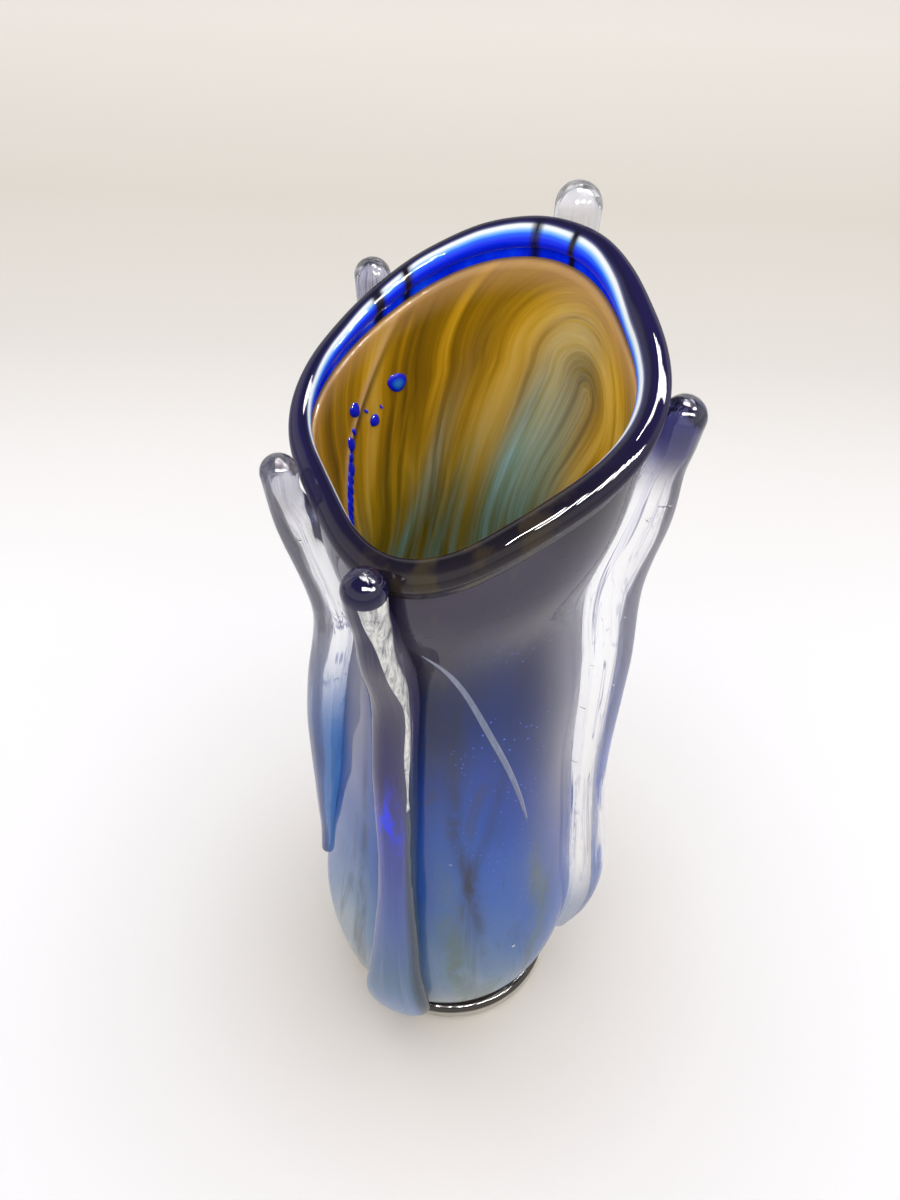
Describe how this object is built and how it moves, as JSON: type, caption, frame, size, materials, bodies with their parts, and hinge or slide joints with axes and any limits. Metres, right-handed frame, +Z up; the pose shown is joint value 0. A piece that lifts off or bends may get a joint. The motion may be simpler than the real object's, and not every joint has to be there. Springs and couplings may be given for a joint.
{
  "type": "vase",
  "caption": "Tall hand blown glass vase: cased body on a foot disc, slanted rolled lip, drawn ribs down the wall with knobs at the rim.",
  "frame": {"origin": "middle of the foot disc's underside, on the table", "axes": "+Z up the vase, -Y toward the front rib's side, +X to the right"},
  "size_m": [0.0945, 0.0979, 0.2754],
  "materials": {
    "foot_glass": "polished",
    "casing_glass": "polished",
    "overlay_glass": "polished",
    "lining_glass": "polished",
    "lip_glass": "polished",
    "rib_glass_violet": "polished",
    "rib_glass": "polished",
    "thread_glass": "polished",
    "chip_glass": "polished"
  },
  "bodies": {
    "root": {"foot_disc": "foot_glass", "clear_casing": "casing_glass", "cobalt_overlay": "overlay_glass", "inner_lining": "lining_glass", "lip_wrap": "lip_glass", "rib_front": "rib_glass_violet", "rib_right": "rib_glass", "rib_back_right": "rib_glass", "rib_back_left": "rib_glass", "rib_left": "rib_glass", "pale_thread": "thread_glass", "cobalt_chips": "chip_glass"}
  },
  "joints": []
}
